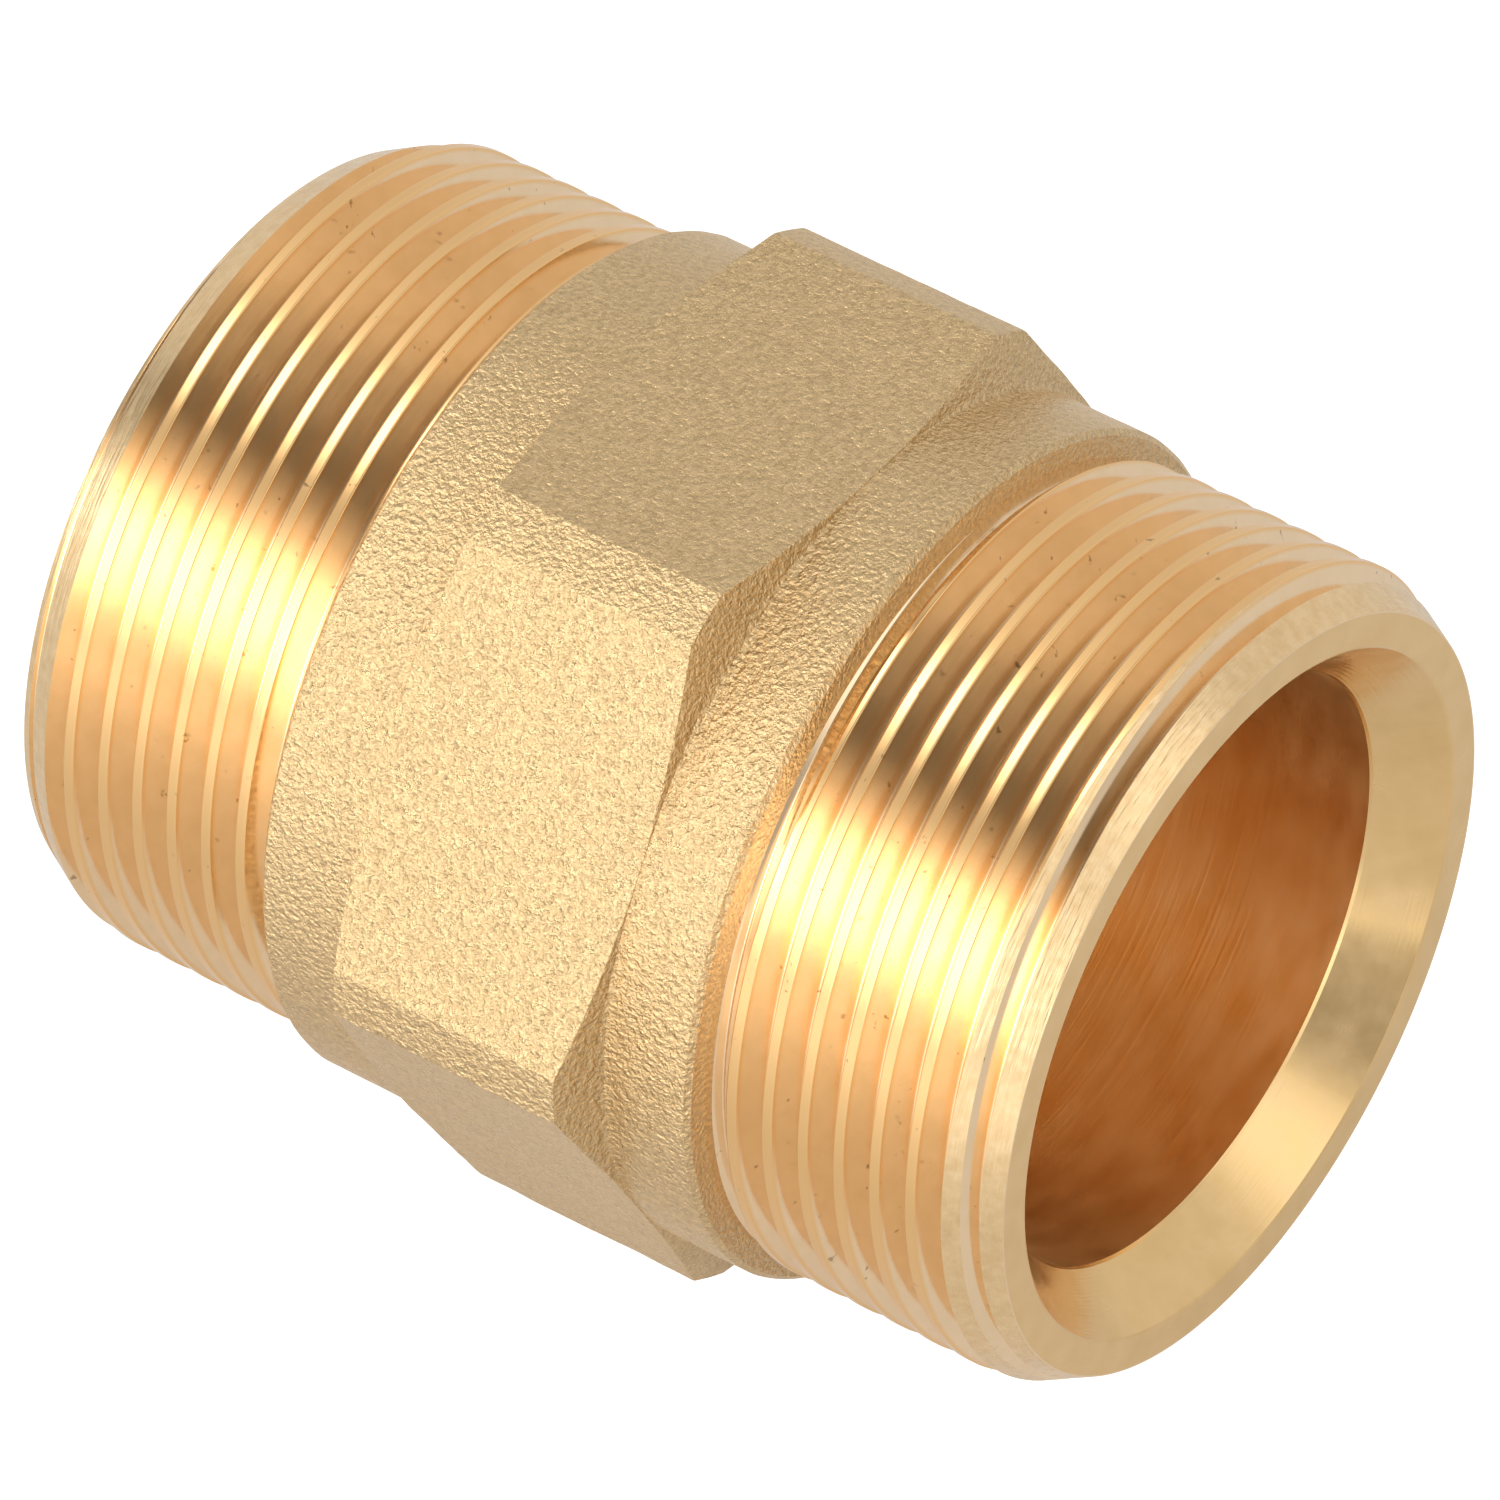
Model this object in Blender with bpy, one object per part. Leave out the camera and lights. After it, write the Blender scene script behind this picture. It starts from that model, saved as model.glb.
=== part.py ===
"""Hex nipple: a cast brass hexagon between two collars, with a pipe thread at each end and a bore.

The fitting's axis is X, the origin is on that axis at mid-length, and the fitting lies on a flat.
Lengths are millimetres and angles are degrees about X, from +Y towards +Z, until MM turns them
into Blender's metres.
"""
import math

import bmesh
import bpy

MM = 0.001
FULL_TURN = 360

# Overall
LENGTH = 64.66
END = LENGTH / 2

# Parallel pipe thread, size 1 1/2, 55 degree form with flattened crests and roots, right-hand
THREAD_RADIUS = 23.9
THREADS_PER_INCH = 11
PITCH = 25.4 / THREADS_PER_INCH
FLANK_ANGLE = 27.5
CREST_FLAT = PITCH / 5
ROOT_FLAT = PITCH / 7
THREAD_DEPTH = (PITCH - CREST_FLAT - ROOT_FLAT) / 2 / math.tan(math.radians(FLANK_ANGLE))
GROOVE_TOP_HALF = (PITCH - CREST_FLAT) / 2
GROOVE_ROOT_HALF = ROOT_FLAT / 2
LEFT_CREST_AT = -17.71      # where each thread has a crest in the half plane of +Y
RIGHT_CREST_AT = 17.05
LEFT_RUNOUT = (-15.8, -14.6)    # the groove is full before this stretch and gone after it
RIGHT_RUNOUT = (15.5, 13.5)

# Turned ends: a chamfer outside, a flat ring, and a cone down into the bore
CHAMFER_LENGTH = 3.0
CHAMFER_START = END - CHAMFER_LENGTH
RING_OUTER_RADIUS = 22.29
RING_INNER_RADIUS = 20.21
BORE_RADIUS = 17.4
MOUTH_DEPTH = 3.46

# Cast middle: hexagon and collars
FLAT_RADIUS = 25.0          # half of the size across flats
CORNER_RADIUS = 28.0
COLLAR_RADIUS = 24.95
HEX_FOOT = 8.38             # half-width of the hexagon where its sides meet the collars
HEX_SIDE_SLOPE = 0.36       # the sides lean in by this much for each unit of radius
LEFT_SHOULDER = -14.42
RIGHT_SHOULDER = 13.83

# The right thread starts from a short turned neck
NECK_RADIUS = 23.4
NECK_END = 14.95
NECK_RISE = 0.5
NECK_TOP = NECK_END + NECK_RISE

# Facets
THREAD_STEP = 10
FLAT_SPACING = 60
CORNER_BAND_HALF = FLAT_SPACING / 2 - math.degrees(math.acos(FLAT_RADIUS / CORNER_RADIUS))
WELD_DISTANCE = 1e-7

BRASS_COLOUR = (0.72, 0.45, 0.19, 1.0)
BRASS_ROUGHNESS = 0.38


def clear_scene():
    """Remove every object, so that the script starts from an empty scene."""
    for item in list(bpy.data.objects):
        bpy.data.objects.remove(item, do_unlink=True)


def clamp(value, low, high):
    """The value, held between low and high."""
    return max(low, min(high, value))


def ramp(value, start, end):
    """0 at start, 1 at end, straight between them and level outside them."""
    return clamp((value - start) / (end - start), 0.0, 1.0)


def hexagon_radius(angle):
    """Radius of the hexagon's rim: a flat, or the turned band that takes off each corner."""
    from_flat = (angle % FLAT_SPACING) - FLAT_SPACING / 2
    return min(FLAT_RADIUS / math.cos(math.radians(from_flat)), CORNER_RADIUS)


def bar_radius(x):
    """Radius of the bar before it is threaded: neck, full diameter and end chamfer."""
    chamfer = (THREAD_RADIUS - RING_OUTER_RADIUS) * ramp(abs(x), CHAMFER_START, END)
    step = THREAD_RADIUS - NECK_RADIUS
    neck = step * (1.0 - ramp(x, NECK_END, NECK_TOP)) if x > 0 else 0.0
    return THREAD_RADIUS - max(chamfer, neck)


def groove_share(groove_x):
    """How deep a groove is as a share of the full depth, by its place along the axis."""
    full_at, gone_at = LEFT_RUNOUT if groove_x < 0 else RIGHT_RUNOUT
    return 1.0 - ramp(groove_x, full_at, gone_at)


def threaded_radius(x, first_groove):
    """Radius of the threaded bar, where the grooves lie at whole pitches from first_groove."""
    groove_x = first_groove + round((x - first_groove) / PITCH) * PITCH
    from_centre = abs(x - groove_x)
    opening = 1.0 - ramp(from_centre, GROOVE_ROOT_HALF, GROOVE_TOP_HALF)
    groove_radius = THREAD_RADIUS - THREAD_DEPTH * groove_share(groove_x) * opening
    return min(groove_radius, bar_radius(x))


def with_edge(places, edge):
    """The same places with one more in each gap: at the edge, or as near to it as the gap lets."""
    gaps = zip(places, places[1:])
    split = [place for low, high in gaps for place in (low, clamp(edge, low, high))]
    return split + [places[-1]]


def thread_outline(low_x, high_x, crest_at, edges, angle):
    """Points from low_x to high_x along one thread: four to a groove, and one at each bar edge."""
    first_groove = crest_at + PITCH / 2 + PITCH * angle / FULL_TURN
    first_turn = math.floor((low_x - crest_at) / PITCH) - 2
    last_turn = math.ceil((high_x - crest_at) / PITCH) + 1
    corners = (-GROOVE_TOP_HALF, -GROOVE_ROOT_HALF, GROOVE_ROOT_HALF, GROOVE_TOP_HALF)
    places = [low_x]
    for turn in range(first_turn, last_turn):
        groove_x = first_groove + turn * PITCH
        places += [clamp(groove_x + corner, low_x, high_x) for corner in corners]
    places.append(high_x)
    for edge in edges:
        places = with_edge(places, edge)
    return [(x, threaded_radius(x, first_groove)) for x in places]


def middle_outline(angle):
    """Points over the left collar, the hexagon and the right collar."""
    rim = hexagon_radius(angle)
    rim_half = HEX_FOOT - HEX_SIDE_SLOPE * (rim - COLLAR_RADIUS)
    return [
        (LEFT_SHOULDER, COLLAR_RADIUS),
        (-HEX_FOOT, COLLAR_RADIUS),
        (-rim_half, rim),
        (rim_half, rim),
        (HEX_FOOT, COLLAR_RADIUS),
        (RIGHT_SHOULDER, COLLAR_RADIUS),
    ]


def bore_outline():
    """Points through the bore, from the right end ring back to the left one."""
    mouth_at = END - MOUTH_DEPTH
    return [
        (END, RING_INNER_RADIUS),
        (mouth_at, BORE_RADIUS),
        (-mouth_at, BORE_RADIUS),
        (-END, RING_INNER_RADIUS),
    ]


def outline(angle):
    """The closed outline of the wall in the half plane at this angle, as (x, radius) points."""
    left_edges = (-CHAMFER_START,)
    right_edges = (NECK_END, NECK_TOP, CHAMFER_START)
    left_thread = thread_outline(-END, LEFT_SHOULDER, LEFT_CREST_AT, left_edges, angle)
    right_thread = thread_outline(RIGHT_SHOULDER, END, RIGHT_CREST_AT, right_edges, angle)
    return left_thread + middle_outline(angle) + right_thread + bore_outline()


def section_angles():
    """Angles of the half planes: even steps, and both edges of each corner's turned band."""
    even = list(range(0, FULL_TURN + 1, THREAD_STEP))
    corners = range(0, FULL_TURN + 1, FLAT_SPACING)
    edges = [corner + side for corner in corners for side in (-CORNER_BAND_HALF, CORNER_BAND_HALF)]
    return sorted(even + [edge for edge in edges if 0 < edge < FULL_TURN])


def add_section(builder, angle):
    """Add the outline's vertices in the half plane at this angle."""
    turn = math.radians(angle)
    return [
        builder.verts.new((x * MM, radius * math.cos(turn) * MM, radius * math.sin(turn) * MM))
        for x, radius in outline(angle)
    ]


def bridge_sections(builder, section, following):
    """Join two neighbouring sections with a ring of faces right round the wall."""
    count = len(section)
    for index in range(count):
        after = (index + 1) % count
        builder.faces.new((section[index], section[after], following[after], following[index]))


def nipple_mesh():
    """The whole casting as one closed mesh. Welding joins each turn of thread to the next."""
    builder = bmesh.new()
    sections = [add_section(builder, angle) for angle in section_angles()]
    for section, following in zip(sections, sections[1:]):
        bridge_sections(builder, section, following)
    bmesh.ops.remove_doubles(builder, verts=builder.verts, dist=WELD_DISTANCE)
    bmesh.ops.triangulate(builder, faces=builder.faces)
    bmesh.ops.recalc_face_normals(builder, faces=builder.faces)
    mesh = bpy.data.meshes.new("nipple_body")
    builder.to_mesh(mesh)
    builder.free()
    return mesh


def brass():
    """Machined and shot-blasted brass."""
    material = bpy.data.materials.new("nipple_brass")
    material.use_nodes = True
    shader = material.node_tree.nodes["Principled BSDF"]
    shader.inputs["Base Color"].default_value = BRASS_COLOUR
    shader.inputs["Metallic"].default_value = 1.0
    shader.inputs["Roughness"].default_value = BRASS_ROUGHNESS
    material.diffuse_color = BRASS_COLOUR
    return material


def add_nipple():
    """The nipple's one piece."""
    nipple = bpy.data.objects.new("nipple_body", nipple_mesh())
    bpy.context.collection.objects.link(nipple)
    nipple.data.materials.append(brass())
    nipple.data.shade_smooth()
    nipple.data.set_sharp_from_angle(angle=math.radians(30))


clear_scene()
add_nipple()
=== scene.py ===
"""Looks of the hex nipple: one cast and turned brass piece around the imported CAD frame.

The fitting's axis is X. Lengths are millimetres and angles are degrees about X, from +Y towards +Z,
until MM turns them into Blender's metres.
"""

import math

import bmesh
import bpy
import numpy as np
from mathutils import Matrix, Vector, noise


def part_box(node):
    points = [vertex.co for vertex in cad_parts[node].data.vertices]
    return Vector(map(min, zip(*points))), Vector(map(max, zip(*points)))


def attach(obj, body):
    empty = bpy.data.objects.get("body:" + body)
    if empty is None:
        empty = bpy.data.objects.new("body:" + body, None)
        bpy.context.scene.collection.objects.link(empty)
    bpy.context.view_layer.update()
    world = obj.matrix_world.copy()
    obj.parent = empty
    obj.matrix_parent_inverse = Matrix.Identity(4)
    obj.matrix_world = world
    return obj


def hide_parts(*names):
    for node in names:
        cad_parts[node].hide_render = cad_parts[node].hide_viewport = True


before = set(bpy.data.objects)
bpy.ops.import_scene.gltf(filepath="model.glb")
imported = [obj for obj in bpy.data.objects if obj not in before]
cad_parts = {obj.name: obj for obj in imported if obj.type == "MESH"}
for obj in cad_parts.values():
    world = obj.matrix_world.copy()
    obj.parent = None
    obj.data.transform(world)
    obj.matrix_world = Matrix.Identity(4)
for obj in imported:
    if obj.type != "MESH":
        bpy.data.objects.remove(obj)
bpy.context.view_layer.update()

MM = 0.001
TURN = 360.0

# ---- Sizes, as in the CAD
low_corner, high_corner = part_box("nipple_body")
END = high_corner.x / MM
CORNER_RADIUS = high_corner.y / MM
FLAT_RADIUS = high_corner.z / MM
THREAD_RADIUS = 23.9
PITCH = 25.4 / 11
FLANK_ANGLE = 27.5
LEFT_CREST_AT = -17.71          # where each thread has a crest in the half plane of +Y
RIGHT_CREST_AT = 17.05
LEFT_RUNOUT = (-15.8, -14.6)    # the groove is full before this stretch and gone after it
RIGHT_RUNOUT = (15.5, 13.5)
CHAMFER_START = END - 3.0
RING_OUTER_RADIUS = 22.29
RING_INNER_RADIUS = 20.21
BORE_RADIUS = 17.4
MOUTH_DEPTH = 3.46
COLLAR_RADIUS = 24.95
HEX_FOOT = 8.38                 # half-width of the hexagon where its sides meet the collars
HEX_SIDE_SLOPE = 0.36           # the sides lean in by this much for each unit of radius
LEFT_SHOULDER = -14.42
RIGHT_SHOULDER = 13.83
NECK_RADIUS = 23.4
NECK_END = 14.95
NECK_RISE = 0.5
FLAT_SPACING = 60
CORNER_BAND_HALF = FLAT_SPACING / 2 - math.degrees(math.acos(FLAT_RADIUS / CORNER_RADIUS))

# ---- Finer shape than the CAD's
GROOVE_TOP_HALF = 0.37 * PITCH  # half-width of a groove where its flanks would meet the crests
CREST_ROUND = 0.1
ROOT_ROUND = 0.08
ROOT_SHARES = (0, 0.5, 1)       # profile points round half of a root, as shares of its turn
CREST_SHARES = (1, 0.67, 0.33, 0)
END_ROUND = 0.08
COLLAR_ROUND = 0.3
RIM_ROUND = 0.2                 # rounding of the hexagon's edges
RIM_CUT = 0.1 * RIM_ROUND
FOOT_ROUND = 0.45               # rounding where the hexagon's sides meet the collars
FOOT_RUN = 0.12 * FOOT_ROUND
FOOT_RISE = 0.08
CORNER_BLEND = 0.05             # rounding between a flat and a corner's band
CAST_WAVES = ((0.16, 0.05), (0.45, 0.035), (0.9, 0.02))     # waves per unit length, and height
WAVE_STEPS = (7.13, 3.71, 5.37)     # how far each set of waves is shifted from the last

# ---- Mesh density
COLUMN_STEP = 1.6               # degrees
EDGE_STEP = 0.45                # degrees, beside the edges of the corner bands
COLUMN_GAP = 0.3                # degrees that an even column keeps from those
COLLAR_ROWS = 8
RIM_ROWS = 24
SIDE_ROWS = 5
SIDE_STRETCH = (0.18, 0.86)     # first and last of them, as shares of the side's height
RING_ROWS = 2
RING_INSET = 0.6
CONE_ROWS = 4
CONE_STRETCH = (0.15, 0.97)
BORE_ROWS = 12
BORE_INSET = 1.0
CUT_MARGIN = 0.02               # a cut keeps this share of a flank on each side of it
WELD_DISTANCE = 1e-7
NEAR = 0.01
SHARP_ANGLE = 9

# ---- Finishes, each a material: colours at the low and high ends of its texture, and roughness
CAST, THREAD, FACET, TURNED, BORE = range(5)
CAST_COLOURS = ((0.64, 0.445, 0.22), (0.83, 0.59, 0.31))
CAST_ROUGH = (0.25, 0.33)
CAST_GRAIN = 0.30
THREAD_COLOURS = ((0.90, 0.665, 0.41), (0.94, 0.70, 0.45))
THREAD_ROUGH = (0.16, 0.17)     # on the flanks and on the crests
CREST_COLOUR = (0.92, 0.57, 0.25)
CREST_BAND = (THREAD_RADIUS - 0.25, THREAD_RADIUS - 0.05)
SPECK_COLOUR = (0.34, 0.20, 0.08)
SPECK_RANGE = (0.69, 0.74)
SPECK_SHARE = 0.7
FACET_COLOURS = ((0.80, 0.55, 0.28), (0.90, 0.66, 0.37))
FACET_ROUGH = (0.16, 0.34)
TURNED_COLOURS = ((0.82, 0.55, 0.245), (0.88, 0.605, 0.296))
TURNED_ROUGH = (0.18, 0.28)
BORE_COLOURS = ((0.88, 0.585, 0.28), (0.95, 0.65, 0.335))
BORE_ROUGH = (0.30, 0.42)
GRAIN_RANGE = (0.35, 0.65)      # the values of noise that span a finish's two ends
NOISE_RANGE = (0.3, 0.7)

# ---- Camera
VIEW_AZIMUTH = 35.49
VIEW_ELEVATION = 42.90
VIEW_DISTANCE = 0.9141
VIEW_TARGET = Vector((1.33 * MM, 0, 0))
VIEW_SHIFT = (-0.0126, 0.0107)
SENSOR = 36.0
LENS = 405.3
CLIP_START = 0.01

# ---- Studio light by angle about X: 0 is the wall behind the fitting, 90 overhead, 180 the front.
# Zones follow each other from -X to +X, and each starts between two shares along X.
LEFT = ((0, 0.8), (54, 0.8), (62, 0.76), (70, 0.6), (80, 0.4), (93, 0.28), (101, 0.15),
        (112, 0.1), (117, 0.2), (124, 0.7), (130, 0.95), (136, 1.7), (144, 3.5), (157, 4.4),
        (166, 3.5), (173, 2.1), (180, 1.4))
SOFT_BOX = ((0, 0.76), (25, 0.72), (41, 0.76), (57, 0.88), (70, 1.05), (79, 1.4), (86, 2.5),
            (91, 4.2), (101, 4.2), (106, 2.8), (112, 1.2), (119, 0.7), (125, 0.72), (131, 0.95),
            (137, 1.65), (145, 2.8), (157, 3.3), (165, 2.6), (173, 1.7), (180, 1.3))
MIDDLE = ((0, 0.8), (45, 0.8), (66, 0.56), (80, 0.3), (100, 0.16), (116, 0.16), (124, 0.45),
          (131, 1.0), (139, 2.4), (149, 3.9), (163, 3.9), (173, 2.2), (180, 1.4))
RIGHT = ((0, 0.76), (50, 0.76), (64, 1.0), (72, 1.3), (100, 1.4), (112, 1.1), (124, 1.1),
         (140, 1.4), (165, 1.6), (180, 0.9))
FAR_RIGHT = ((0, 0.76), (50, 0.76), (64, 1.1), (72, 1.4), (100, 1.4), (112, 1.0), (124, 0.5),
             (140, 0.42), (165, 0.5), (180, 0.6))
SIDE = ((0, 0.5), (180, 0.5))
ZONES = ((-0.99, -0.96, LEFT), (-0.56, -0.49, SOFT_BOX), (-0.385, -0.33, MIDDLE),
         (0.22, 0.34, RIGHT), (0.60, 0.70, FAR_RIGHT), (0.84, 0.93, SIDE))
LIGHT_SCALE = 5.0               # keeps the levels on the colour ramps between 0 and 1
HALF_TURN = 180

# ---- Floor
FLOOR_HALF = 3.0                # metres
FLOOR_PAPER = 0.35
FLOOR_ROUGH = 0.9
# Painted light: the paper's emission makes it glow pure white where it is seen straight on, which hides
# its shadow. In the brass's reflections it glows dimmer, as a painted pool of light that gets brighter
# towards the window in front, from the first distance (metres) to the second.
GLOW_NEAR, GLOW_FAR, GLOW_SEEN = 0.38, 1.0, 1.0
GLOW_FROM, GLOW_TO = -0.045, -0.16


def ramp(value, start, end):
    """0 at start, 1 at end, straight between them and level outside them."""
    return np.clip((value - start) / (end - start), 0.0, 1.0)


# ---- Threads
def groove_profile():
    """Offsets from a groove's middle and depths there: a rounded root, a flank, a rounded crest."""
    lean = math.radians(90 - FLANK_ANGLE)
    slope = math.tan(math.radians(FLANK_ANGLE))
    bottom = GROOVE_TOP_HALF / slope - ROOT_ROUND * (1 / math.cos(lean) - 1)
    tangent = CREST_ROUND * math.tan(lean / 2)
    root = [(ROOT_ROUND * math.sin(lean * share), bottom - ROOT_ROUND * (1 - math.cos(lean * share)))
            for share in ROOT_SHARES]
    crest = [(GROOVE_TOP_HALF + tangent - CREST_ROUND * math.sin(lean * share),
              CREST_ROUND * (1 - math.cos(lean * share))) for share in CREST_SHARES]
    return np.array(root + crest + [(PITCH / 2, 0)]).T


PROFILE_OFFSETS, PROFILE_DEPTHS = groove_profile()


def bar_radius(x):
    """Radius of the bar before it is threaded: neck, full diameter and end chamfer."""
    chamfer = (THREAD_RADIUS - RING_OUTER_RADIUS) * ramp(np.abs(x), CHAMFER_START, END)
    step = THREAD_RADIUS - NECK_RADIUS
    neck = np.where(x > 0, step * (1.0 - ramp(x, NECK_END, NECK_END + NECK_RISE)), 0.0)
    return THREAD_RADIUS - np.maximum(chamfer, neck)


def groove_radius(x, first_groove):
    """Radius of the grooves alone, which lie at whole pitches from first_groove."""
    groove_x = first_groove + np.round((x - first_groove) / PITCH) * PITCH
    full_at, gone_at = LEFT_RUNOUT if np.mean(groove_x) < 0 else RIGHT_RUNOUT
    share = 1.0 - ramp(groove_x, full_at, gone_at)
    depth = np.interp(np.abs(x - groove_x), PROFILE_OFFSETS, PROFILE_DEPTHS)
    return THREAD_RADIUS - share * depth


def threaded_radius(x, first_groove):
    """Radius of the threaded bar."""
    return np.minimum(groove_radius(x, first_groove), bar_radius(x))


def flank_cut(inner_x, outer_x, first_groove):
    """Where a flank meets the chamfer or the neck, or its middle where it meets neither."""
    inner_gap = bar_radius(inner_x) - groove_radius(inner_x, first_groove)
    outer_gap = bar_radius(outer_x) - groove_radius(outer_x, first_groove)
    crossing = (inner_gap > 0) & (outer_gap < 0)
    share = np.where(crossing, inner_gap / np.where(crossing, inner_gap - outer_gap, 1.0), 0.5)
    return inner_x + (outer_x - inner_x) * np.clip(share, CUT_MARGIN, 1 - CUT_MARGIN)


def groove_side_rows(side, groove_x, first_groove):
    """Rows from a groove's middle to the top of one side, with one more where the flank is cut."""
    rows = [groove_x + side * offset for offset in PROFILE_OFFSETS[:-1]]
    foot = len(ROOT_SHARES) - 1
    rows.insert(foot + 1, flank_cut(rows[foot], rows[foot + 1], first_groove))
    return rows


def thread_rows(low_x, high_x, crest_at, angles, break_at):
    """Rows of x from low_x to high_x along one thread, held inside the stretch."""
    first_groove = crest_at + PITCH / 2 + PITCH * angles / TURN
    first_turn = math.floor((low_x - crest_at) / PITCH) - 2
    last_turn = math.ceil((high_x - crest_at) / PITCH) + 1
    rows = [np.full_like(angles, low_x)]
    for turn in range(first_turn, last_turn):
        groove_x = first_groove + turn * PITCH
        crest_low = groove_x - PITCH + PROFILE_OFFSETS[-2]
        crest_high = groove_x - PROFILE_OFFSETS[-2]
        on_crest = (crest_low < break_at) & (break_at < crest_high)
        rows.append(np.where(on_crest, break_at, (crest_low + crest_high) / 2))
        rows += groove_side_rows(-1, groove_x, first_groove)[::-1]
        rows += groove_side_rows(1, groove_x, first_groove)[1:]
    rows.append(np.full_like(angles, high_x))
    rows = [np.clip(row, low_x, high_x) for row in rows]
    return [(row, threaded_radius(row, first_groove), THREAD) for row in rows]


# ---- Cast middle
def smooth_min(a, b, width):
    """The smaller of two radii, with the edge between them rounded over."""
    share = np.clip(0.5 + 0.5 * (b - a) / width, 0.0, 1.0)
    return b + (a - b) * share - width * share * (1.0 - share)


def hexagon_radius(angles):
    """Radius of the hexagon's rim: a flat, or the band that takes off each corner."""
    from_flat = (angles % FLAT_SPACING) - FLAT_SPACING / 2
    return smooth_min(FLAT_RADIUS / np.cos(np.radians(from_flat)), CORNER_RADIUS, CORNER_BLEND)


def side_rows(side, rim, height, rim_half, flat):
    """Rows up one leaning side of the hexagon, with a round at its foot and at its rim."""
    rows = [(side * (HEX_FOOT + FOOT_RUN) * flat, COLLAR_RADIUS + FOOT_RISE * height.clip(0, 1), CAST)]
    for share in np.linspace(*SIDE_STRETCH, SIDE_ROWS):
        rows.append((side * (HEX_FOOT - HEX_SIDE_SLOPE * height * share),
                     COLLAR_RADIUS + height * share, CAST))
    rows.append((side * (rim_half - RIM_CUT), rim - RIM_CUT * height.clip(0, 1), CAST))
    return rows


def middle_rows(angles):
    """Rows over the left collar, the hexagon and the right collar."""
    flat = np.ones_like(angles)
    rim = hexagon_radius(angles)
    height = rim - COLLAR_RADIUS
    rim_half = HEX_FOOT - HEX_SIDE_SLOPE * height
    rows = [(LEFT_SHOULDER * flat, (COLLAR_RADIUS - COLLAR_ROUND) * flat, CAST)]
    for x in np.linspace(LEFT_SHOULDER + COLLAR_ROUND, -HEX_FOOT - FOOT_ROUND, COLLAR_ROWS):
        rows.append((x * flat, COLLAR_RADIUS * flat, CAST))
    rows += side_rows(-1, rim, height, rim_half, flat)
    for share in np.linspace(-1, 1, RIM_ROWS):
        rows.append((share * (rim_half - RIM_ROUND * np.minimum(height, 1)), rim, CAST))
    rows += side_rows(1, rim, height, rim_half, flat)[::-1]
    for x in np.linspace(HEX_FOOT + FOOT_ROUND, RIGHT_SHOULDER - COLLAR_ROUND, COLLAR_ROWS):
        rows.append((x * flat, COLLAR_RADIUS * flat, CAST))
    rows.append((RIGHT_SHOULDER * flat, (COLLAR_RADIUS - COLLAR_ROUND) * flat, CAST))
    return rows


# ---- Ends and bore
def mouth_places():
    """Places over the right end ring and down the cone into the bore, as (x, radius, part)."""
    slope = (RING_INNER_RADIUS - BORE_RADIUS) / MOUTH_DEPTH
    places = [(END, RING_OUTER_RADIUS - END_ROUND, TURNED)]
    for radius in np.linspace(RING_OUTER_RADIUS - RING_INSET, RING_INNER_RADIUS + RING_INSET, RING_ROWS):
        places.append((END, radius, TURNED))
    places.append((END, RING_INNER_RADIUS + END_ROUND, TURNED))
    places.append((END - END_ROUND, RING_INNER_RADIUS - slope * END_ROUND, TURNED))
    for share in np.linspace(*CONE_STRETCH, CONE_ROWS):
        places.append((END - MOUTH_DEPTH * share,
                       RING_INNER_RADIUS + (BORE_RADIUS - RING_INNER_RADIUS) * share, TURNED))
    places.append((END - MOUTH_DEPTH - END_ROUND, BORE_RADIUS, BORE))
    return places


def bore_rows(flat):
    """Rows from the right end ring through the bore to the left end ring."""
    right = mouth_places()
    left = [(-x, radius, part) for x, radius, part in reversed(right)]
    inner_end = END - MOUTH_DEPTH - BORE_INSET
    bore = [(x, BORE_RADIUS, BORE) for x in np.linspace(inner_end, -inner_end, BORE_ROWS)]
    return [(x * flat, radius * flat, part) for x, radius, part in right + bore + left]


# ---- The whole wall
def column_angles():
    """Angles of the half planes: even steps, and closer ones beside each corner band's edges."""
    even = [step * COLUMN_STEP for step in range(int(TURN / COLUMN_STEP) + 1)]
    extra = []
    for corner in range(0, int(TURN) + 1, FLAT_SPACING):
        for side in (-1, 1):
            for near in (-EDGE_STEP, 0.0, EDGE_STEP):
                extra.append(corner + side * CORNER_BAND_HALF + near)
    extra = [angle for angle in extra if 0 < angle < TURN]
    even = [angle for angle in even
            if angle in (0.0, TURN) or min(abs(angle - other) for other in extra) > COLUMN_GAP]
    return np.array(sorted(even + extra))


def wobble(points, scale, seed):
    """Smooth noise from -1 to 1 at each point."""
    shift = Vector([seed * step for step in WAVE_STEPS])
    return np.array([noise.noise(Vector(point) * scale + shift) for point in points])


def roughen(x, radius, parts, turns):
    """Uneven casting on the middle, with the threads and turned faces left true."""
    cast = np.array([part == CAST for part in parts])
    shape = x[:, cast]
    points = np.stack([shape, radius[:, cast] * np.cos(turns), radius[:, cast] * np.sin(turns)], -1)
    flat_points = points.reshape(-1, 3)
    lift = sum(size * wobble(flat_points, scale, seed)
               for seed, (scale, size) in enumerate(CAST_WAVES, 1))
    result = radius.copy()
    result[:, cast] += lift.reshape(shape.shape)
    return result


def wall_rows(angles):
    """The closed outline of the wall in every half plane, as rows of (x, radius, part)."""
    left = thread_rows(-END, LEFT_SHOULDER, LEFT_CREST_AT, angles, -CHAMFER_START)
    right = thread_rows(RIGHT_SHOULDER, END, RIGHT_CREST_AT, angles, CHAMFER_START)
    return left + middle_rows(angles) + right + bore_rows(np.ones_like(angles))


def on_chamfer(x, radius):
    """True where a point lies on the end chamfer's cone."""
    return (np.abs(x) > CHAMFER_START - NEAR) & (radius > bar_radius(x) - NEAR)


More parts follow.
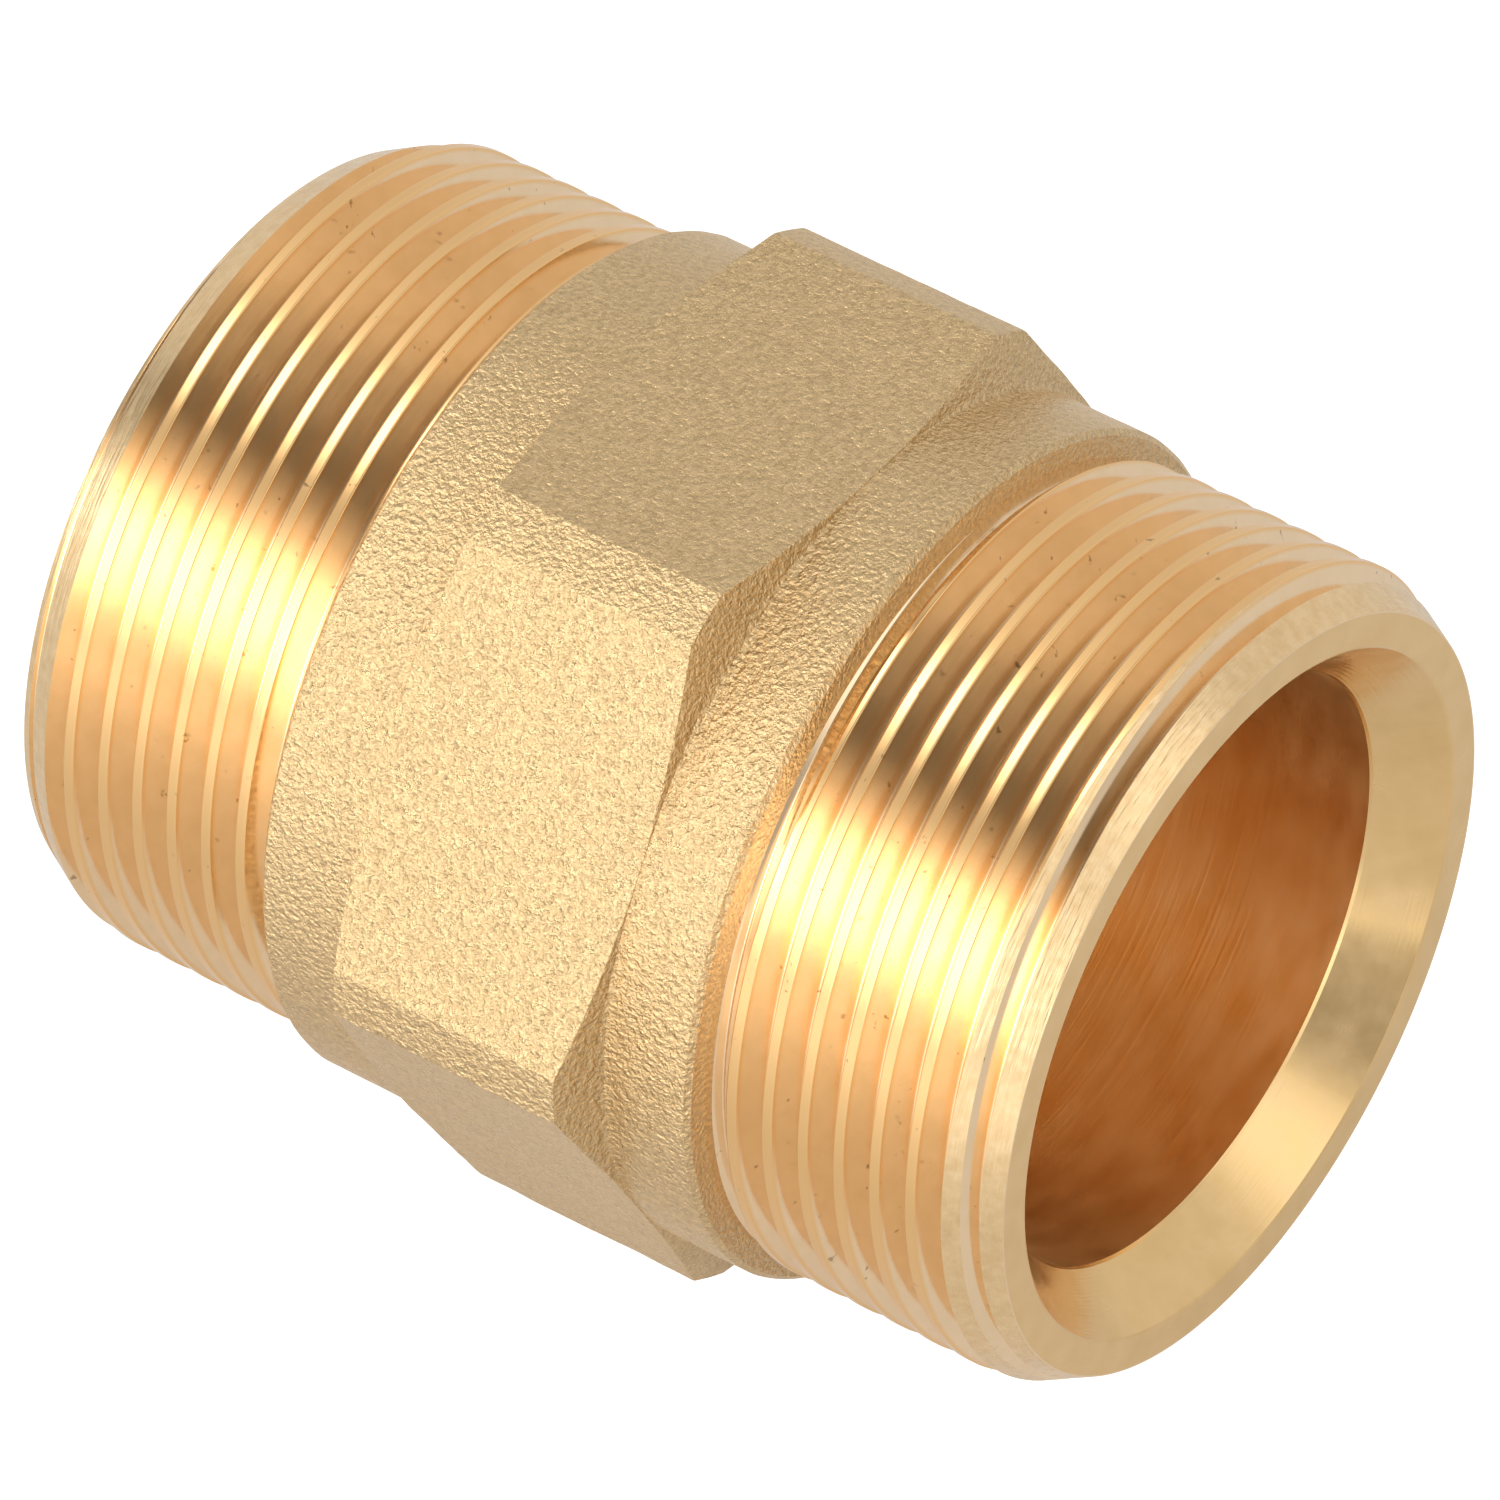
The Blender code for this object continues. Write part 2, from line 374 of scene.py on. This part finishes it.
def add_faces(builder, columns, parts, facet):
    """Join each column of vertices to the next, and give every face its finish."""
    for index, (column, following) in enumerate(zip(columns, columns[1:])):
        for row in range(len(parts)):
            after = (row + 1) % len(parts)
            face = builder.faces.new((column[row], column[after], following[after], following[row]))
            face.smooth = True
            part = min(parts[row], parts[after])
            if part == THREAD and facet[index:index + 2, [row, after]].all():
                part = FACET
            face.material_index = part


def nipple_mesh():
    """The whole casting as one closed mesh. Welding joins each turn of thread to the next."""
    angles = column_angles()
    rows = wall_rows(angles)
    x = np.array([row[0] for row in rows]).T
    radius = np.array([row[1] for row in rows]).T
    parts = [row[2] for row in rows]
    turns = np.radians(angles)[:, None]
    radius = roughen(x, radius, parts, turns)
    places = np.stack([x, radius * np.cos(turns), radius * np.sin(turns)], axis=-1)
    builder = bmesh.new()
    columns = [[builder.verts.new(place * MM) for place in column] for column in places]
    add_faces(builder, columns, parts, on_chamfer(x, radius))
    bmesh.ops.remove_doubles(builder, verts=builder.verts, dist=WELD_DISTANCE)
    bmesh.ops.triangulate(builder, faces=builder.faces)
    bmesh.ops.recalc_face_normals(builder, faces=builder.faces)
    mesh = bpy.data.meshes.new("nipple")
    builder.to_mesh(mesh)
    builder.free()
    return mesh


# ---- Materials
class Nodes:
    """A small helper that adds nodes to one material and joins them."""

    def __init__(self, name):
        self.material = bpy.data.materials.new(name)
        self.material.use_nodes = True
        self.tree = self.material.node_tree
        self.shader = self.tree.nodes["Principled BSDF"]

    def add(self, kind, **settings):
        """A new node of this kind."""
        node = self.tree.nodes.new(kind)
        for key, value in settings.items():
            setattr(node, key, value)
        return node

    def join(self, source, target):
        """Link an output to an input."""
        self.tree.links.new(source, target)

    def place(self):
        """Position on the object, in millimetres."""
        coordinates = self.add("ShaderNodeTexCoord")
        scale = self.add("ShaderNodeVectorMath", operation="SCALE")
        scale.inputs["Scale"].default_value = 1 / MM
        self.join(coordinates.outputs["Object"], scale.inputs[0])
        return scale.outputs[0]

    def stretched(self, source, factors):
        """A vector times a factor on each axis."""
        node = self.add("ShaderNodeVectorMath", operation="MULTIPLY")
        node.inputs[1].default_value = factors
        self.join(source, node.inputs[0])
        return node.outputs[0]

    def noise(self, source, scale, detail=2.0, rough=0.5):
        """Smooth noise, mostly between 0.3 and 0.7."""
        node = self.add("ShaderNodeTexNoise")
        node.inputs["Scale"].default_value = scale
        node.inputs["Detail"].default_value = detail
        node.inputs["Roughness"].default_value = rough
        self.join(source, node.inputs["Vector"])
        return node.outputs["Fac"]

    def lathe_lines(self, place, across, along):
        """Noise drawn out into fine lines that run round the axis."""
        return self.noise(self.stretched(place, (across, along, along)), 1.0)

    def span(self, source, from_low, from_high, to_low, to_high):
        """One range of values mapped to another, and held inside it."""
        node = self.add("ShaderNodeMapRange")
        for name, value in (("From Min", from_low), ("From Max", from_high),
                            ("To Min", to_low), ("To Max", to_high)):
            node.inputs[name].default_value = value
        self.join(source, node.inputs["Value"])
        return node.outputs["Result"]

    def blend(self, share, first, second):
        """A share of the way from one colour to another. Each is a socket or a constant."""
        node = self.add("ShaderNodeMix", data_type="RGBA")
        factor, low, high, result = node.inputs[0], node.inputs[6], node.inputs[7], node.outputs[2]
        self.join(share, factor)
        for value, target in ((first, low), (second, high)):
            if isinstance(value, tuple):
                target.default_value = (*value, 1.0)
            else:
                self.join(value, target)
        return result

    def bump(self, height, distance):
        """Normals of a surface raised by a height, with the distance in millimetres."""
        node = self.add("ShaderNodeBump")
        node.inputs["Strength"].default_value = 1.0
        node.inputs["Distance"].default_value = distance * MM
        self.join(height, node.inputs["Height"])
        return node.outputs["Normal"]

    def radius(self, place):
        """Distance from the axis, in millimetres."""
        across = self.add("ShaderNodeVectorMath", operation="LENGTH")
        self.join(self.stretched(place, (0.0, 1.0, 1.0)), across.inputs[0])
        return across.outputs["Value"]

    def brass(self, colour, roughness, normal):
        """Make the material a metal with these three, and return it."""
        self.shader.inputs["Metallic"].default_value = 1.0
        for name, value in (("Base Color", colour), ("Roughness", roughness), ("Normal", normal)):
            self.join(value, self.shader.inputs[name])
        return self.material


def cast_brass():
    """Shot-blasted cast skin: fine grain that sparkles, over soft stains."""
    nodes = Nodes("cast_brass")
    place = nodes.place()
    grain = nodes.noise(place, 3.1, 3.0, 0.6)
    colour = nodes.blend(nodes.span(grain, *GRAIN_RANGE, 0.0, 1.0), *CAST_COLOURS)
    roughness = nodes.span(nodes.noise(place, 1.2), *NOISE_RANGE, *CAST_ROUGH)
    return nodes.brass(colour, roughness, nodes.bump(grain, CAST_GRAIN))


def thread_brass():
    """Cut thread: bright, with faint tool lines and specks."""
    nodes = Nodes("thread_brass")
    place = nodes.place()
    lines = nodes.lathe_lines(place, 9.0, 0.25)
    mottle = nodes.noise(place, 0.7, 4.0)
    colour = nodes.blend(nodes.span(mottle, *NOISE_RANGE, 0.0, 1.0), *THREAD_COLOURS)
    crest = nodes.span(nodes.radius(place), *CREST_BAND, 0.0, 1.0)
    colour = nodes.blend(crest, colour, CREST_COLOUR)
    specks = nodes.span(nodes.noise(place, 1.3, 3.0, 0.6), *SPECK_RANGE, 0.0, SPECK_SHARE)
    colour = nodes.blend(specks, colour, SPECK_COLOUR)
    roughness = nodes.span(crest, 0.0, 1.0, *THREAD_ROUGH)
    return nodes.brass(colour, roughness, nodes.bump(lines, 0.003))


def facet_brass():
    """End chamfer: coarse turning marks."""
    nodes = Nodes("facet_brass")
    place = nodes.place()
    lines = nodes.lathe_lines(place, 6.0, 0.4)
    mottle = nodes.noise(place, 1.4, 4.0)
    colour = nodes.blend(nodes.span(mottle, *NOISE_RANGE, 0.0, 1.0), *FACET_COLOURS)
    roughness = nodes.span(lines, *NOISE_RANGE, *FACET_ROUGH)
    return nodes.brass(colour, roughness, nodes.bump(lines, 0.03))


def turned_brass():
    """End ring and mouth cone: smooth turned faces."""
    nodes = Nodes("turned_brass")
    place = nodes.place()
    lines = nodes.lathe_lines(place, 8.0, 0.15)
    mottle = nodes.noise(place, 0.5, 3.0)
    colour = nodes.blend(nodes.span(mottle, *NOISE_RANGE, 0.0, 1.0), *TURNED_COLOURS)
    roughness = nodes.span(mottle, *NOISE_RANGE, *TURNED_ROUGH)
    return nodes.brass(colour, roughness, nodes.bump(lines, 0.008))


def bore_brass():
    """Bore: darker, copper-toned and smudged."""
    nodes = Nodes("bore_brass")
    place = nodes.place()
    lines = nodes.lathe_lines(place, 5.0, 0.1)
    smudge = nodes.noise(nodes.stretched(place, (0.6, 0.25, 0.25)), 1.0, 4.0)
    colour = nodes.blend(nodes.span(smudge, *NOISE_RANGE, 0.0, 1.0), *BORE_COLOURS)
    roughness = nodes.span(smudge, *NOISE_RANGE, *BORE_ROUGH)
    return nodes.brass(colour, roughness, nodes.bump(lines, 0.015))


def add_nipple():
    """The nipple's one piece, with its materials in the order of the finishes."""
    mesh = nipple_mesh()
    nipple = bpy.data.objects.new("nipple", mesh)
    bpy.context.collection.objects.link(nipple)
    for make in (cast_brass, thread_brass, facet_brass, turned_brass, bore_brass):
        mesh.materials.append(make())
    mesh.set_sharp_from_angle(angle=math.radians(SHARP_ANGLE))
    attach(nipple, "root")
    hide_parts("nipple_body")


# ---- Studio
def add_camera():
    """The camera, at the photograph's angle."""
    data = bpy.data.cameras.new("camera")
    data.sensor_width = SENSOR
    data.lens = LENS
    data.shift_x, data.shift_y = VIEW_SHIFT
    data.clip_start = CLIP_START
    camera = bpy.data.objects.new("camera", data)
    bpy.context.collection.objects.link(camera)
    across, up = math.radians(VIEW_AZIMUTH), math.radians(VIEW_ELEVATION)
    back = Vector((math.sin(across) * math.cos(up), -math.cos(across) * math.cos(up), math.sin(up)))
    camera.location = VIEW_TARGET + back * VIEW_DISTANCE
    camera.rotation_euler = (-back).to_track_quat("-Z", "Y").to_euler()
    bpy.context.scene.camera = camera


class Sky(Nodes):
    """The world's nodes, with the same helpers as a material's."""

    def __init__(self, name):
        world = bpy.data.worlds.new(name)
        world.use_nodes = True
        bpy.context.scene.world = world
        self.tree = world.node_tree
        self.shader = self.tree.nodes["Background"]

    def levels(self, turn, zone):
        """A zone's light by angle about X, where turn is 0 behind the fitting and 1 in front."""
        node = self.add("ShaderNodeValToRGB")
        self.join(turn, node.inputs["Fac"])
        stops = node.color_ramp.elements
        while len(stops) < len(zone):
            stops.new(1.0)
        for stop, (degrees, level) in zip(stops, zone):
            stop.position = degrees / HALF_TURN
            level /= LIGHT_SCALE
            stop.color = (level, level, level, 1.0)
        return node.outputs["Color"]


def add_world():
    """A lit room: the light changes by angle about X and from zone to zone along X."""
    sky = Sky("studio")
    coordinates = sky.add("ShaderNodeTexCoord")
    parts = sky.add("ShaderNodeSeparateXYZ")
    sky.join(coordinates.outputs["Generated"], parts.inputs[0])
    angle = sky.add("ShaderNodeMath", operation="ARCTAN2")
    sky.join(parts.outputs["Z"], angle.inputs[0])
    sky.join(parts.outputs["Y"], angle.inputs[1])
    turn = sky.span(angle.outputs[0], 0.0, math.pi, 0.0, 1.0)
    light = sky.levels(turn, SIDE)
    for start, full, zone in ZONES:
        share = sky.span(parts.outputs["X"], start, full, 0.0, 1.0)
        light = sky.blend(share, light, sky.levels(turn, zone))
    sky.join(light, sky.shader.inputs["Color"])
    sky.shader.inputs["Strength"].default_value = LIGHT_SCALE


def add_floor():
    """A plain sheet of pale paper under the nipple, whose emission is painted light: pure white where
    seen straight on, dimmer and graded in reflections.
    """
    mesh = bpy.data.meshes.new("floor")
    level = low_corner.z
    corners = ((-1, -1), (1, -1), (1, 1), (-1, 1))
    mesh.from_pydata([(x * FLOOR_HALF, y * FLOOR_HALF, level) for x, y in corners], [], [(0, 1, 2, 3)])
    floor = bpy.data.objects.new("floor", mesh)
    bpy.context.collection.objects.link(floor)
    nodes = Nodes("floor_paper")
    nodes.shader.inputs["Base Color"].default_value = (FLOOR_PAPER, FLOOR_PAPER, FLOOR_PAPER, 1.0)
    nodes.shader.inputs["Specular IOR Level"].default_value = 0.0
    nodes.shader.inputs["Roughness"].default_value = FLOOR_ROUGH
    nodes.shader.inputs["Emission Color"].default_value = (1.0, 1.0, 1.0, 1.0)
    # Painted light: the emission is full white for camera rays, and a dimmer glow that brightens towards
    # the front for reflections.
    seen = nodes.add("ShaderNodeLightPath")
    place = nodes.add("ShaderNodeSeparateXYZ")
    nodes.join(nodes.add("ShaderNodeTexCoord").outputs["Object"], place.inputs[0])
    mirrored = nodes.span(place.outputs["Y"], GLOW_FROM, GLOW_TO, GLOW_NEAR, GLOW_FAR)
    glow = nodes.add("ShaderNodeMix", data_type="FLOAT")
    factor, low, high = glow.inputs[0], glow.inputs[2], glow.inputs[3]
    nodes.join(seen.outputs["Is Camera Ray"], factor)
    nodes.join(mirrored, low)
    high.default_value = GLOW_SEEN
    nodes.join(glow.outputs[0], nodes.shader.inputs["Emission Strength"])
    mesh.materials.append(nodes.material)


add_camera()
bpy.context.scene.view_settings.view_transform = "Standard"
add_nipple()
add_world()
add_floor()
